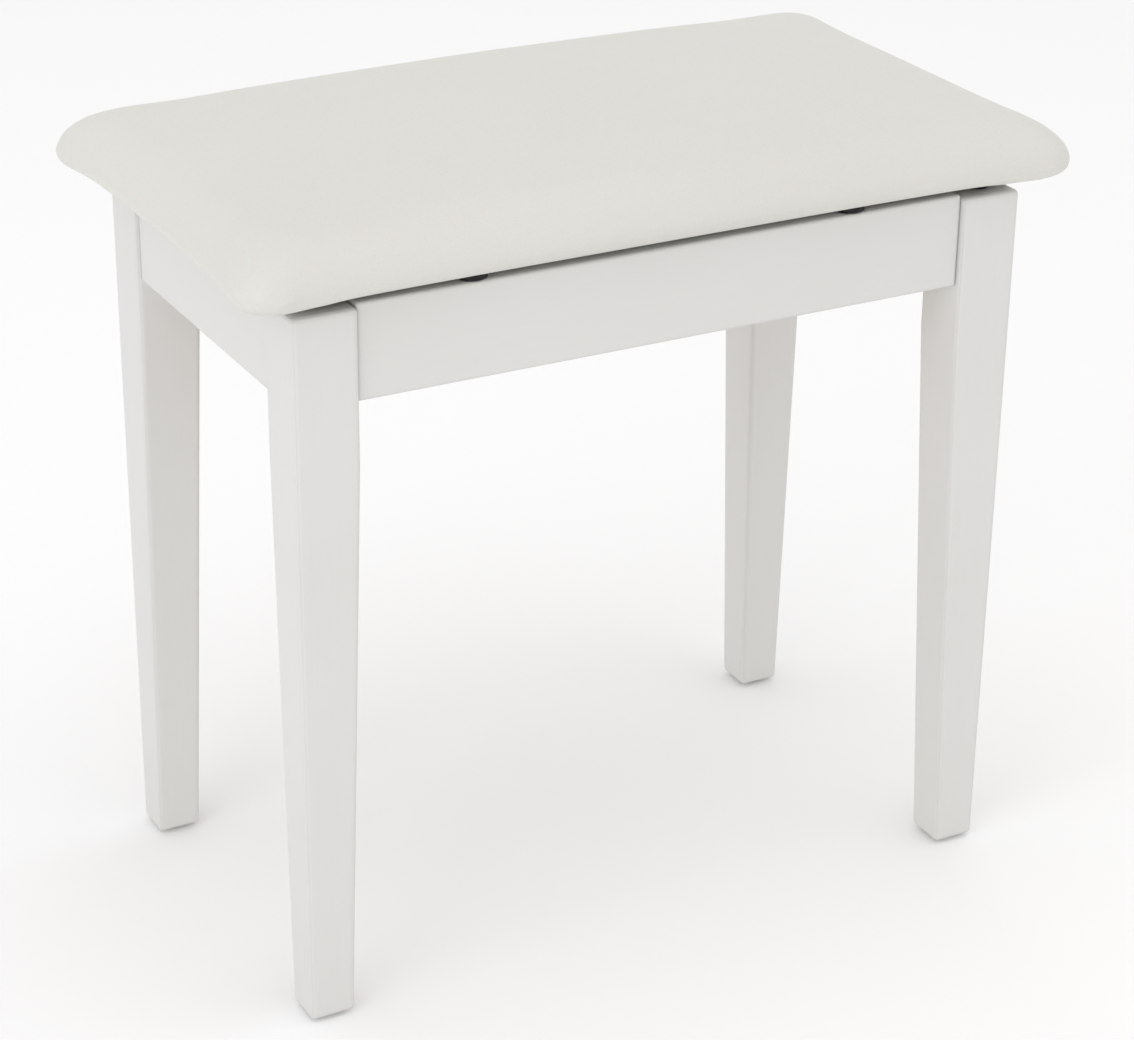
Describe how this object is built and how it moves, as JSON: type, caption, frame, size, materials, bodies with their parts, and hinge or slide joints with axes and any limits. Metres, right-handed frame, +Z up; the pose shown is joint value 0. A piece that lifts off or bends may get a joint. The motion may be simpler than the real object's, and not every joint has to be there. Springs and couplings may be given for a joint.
{
  "type": "piano bench",
  "caption": "Fixed-height piano bench: tapered square legs, an apron box with a shallow music compartment, and a padded leatherette seat hinged along the back as its lid.",
  "frame": {"origin": "on the floor, under the middle of the bench", "axes": "+X to the right-hand end along the bench's length, -Y the front, +Z up"},
  "size_m": [0.5268, 0.2994, 0.4877],
  "materials": {
    "white_paint": "satin white lacquer on solid wood",
    "cream_leatherette": "warm off-white fine-grained leatherette, soft sheen",
    "foam": "open-cell polyurethane foam",
    "plywood": "bare birch plywood",
    "white_hardboard": "white-faced thin hardboard",
    "dust_cloth": "black non-woven cloth",
    "black_rubber": "moulded black rubber",
    "nylon": "off-white nylon",
    "zinc_plate": "bright zinc-plated steel"
  },
  "bodies": {
    "frame": {"apron_front": "white_paint", "apron_left": "white_paint", "apron_rear": "white_paint", "apron_right": "white_paint", "bracket_screw_front_left_1": "zinc_plate", "bracket_screw_front_left_2": "zinc_plate", "bracket_screw_front_right_1": "zinc_plate", "bracket_screw_front_right_2": "zinc_plate", "bracket_screw_rear_left_1": "zinc_plate", "bracket_screw_rear_left_2": "zinc_plate", "bracket_screw_rear_right_1": "zinc_plate", "bracket_screw_rear_right_2": "zinc_plate", "bumper_apron_left": "black_rubber", "bumper_apron_right": "black_rubber", "bumper_front_left": "black_rubber", "bumper_front_right": "black_rubber", "bumper_rear_left": "black_rubber", "bumper_rear_right": "black_rubber", "compartment_floor": "white_hardboard", "corner_bracket_front_left": "zinc_plate", "corner_bracket_front_right": "zinc_plate", "corner_bracket_rear_left": "zinc_plate", "corner_bracket_rear_right": "zinc_plate", "flange_nut_front_left": "zinc_plate", "flange_nut_front_right": "zinc_plate", "flange_nut_rear_left": "zinc_plate", "flange_nut_rear_right": "zinc_plate", "foot_glide_front_left": "nylon", "foot_glide_front_right": "nylon", "foot_glide_rear_left": "nylon", "foot_glide_rear_right": "nylon", "hanger_bolt_front_left": "zinc_plate", "hanger_bolt_front_right": "zinc_plate", "hanger_bolt_rear_left": "zinc_plate", "hanger_bolt_rear_right": "zinc_plate", "hinge_frame_leaf_left": "zinc_plate", "hinge_frame_leaf_right": "zinc_plate", "hinge_frame_screw_left_1": "zinc_plate", "hinge_frame_screw_left_2": "zinc_plate", "hinge_frame_screw_right_1": "zinc_plate", "hinge_frame_screw_right_2": "zinc_plate", "hinge_pin_left": "zinc_plate", "hinge_pin_right": "zinc_plate", "leg_front_left": "white_paint", "leg_front_right": "white_paint", "leg_rear_left": "white_paint", "leg_rear_right": "white_paint"},
    "lid": {"hinge_lid_leaf_left": "zinc_plate", "hinge_lid_leaf_right": "zinc_plate", "hinge_lid_screw_left_1": "zinc_plate", "hinge_lid_screw_left_2": "zinc_plate", "hinge_lid_screw_right_1": "zinc_plate", "hinge_lid_screw_right_2": "zinc_plate", "seat_board": "plywood", "seat_cover": "cream_leatherette", "seat_dust_cover": "dust_cloth", "seat_foam": "foam"}
  },
  "joints": [
    {"name": "lid_hinge", "type": "hinge", "parent": "frame", "child": "lid", "pos_m": [0, 0.134, 0.4386], "axis": [-1, 0, 0], "range_deg": [0, 100]}
  ]
}
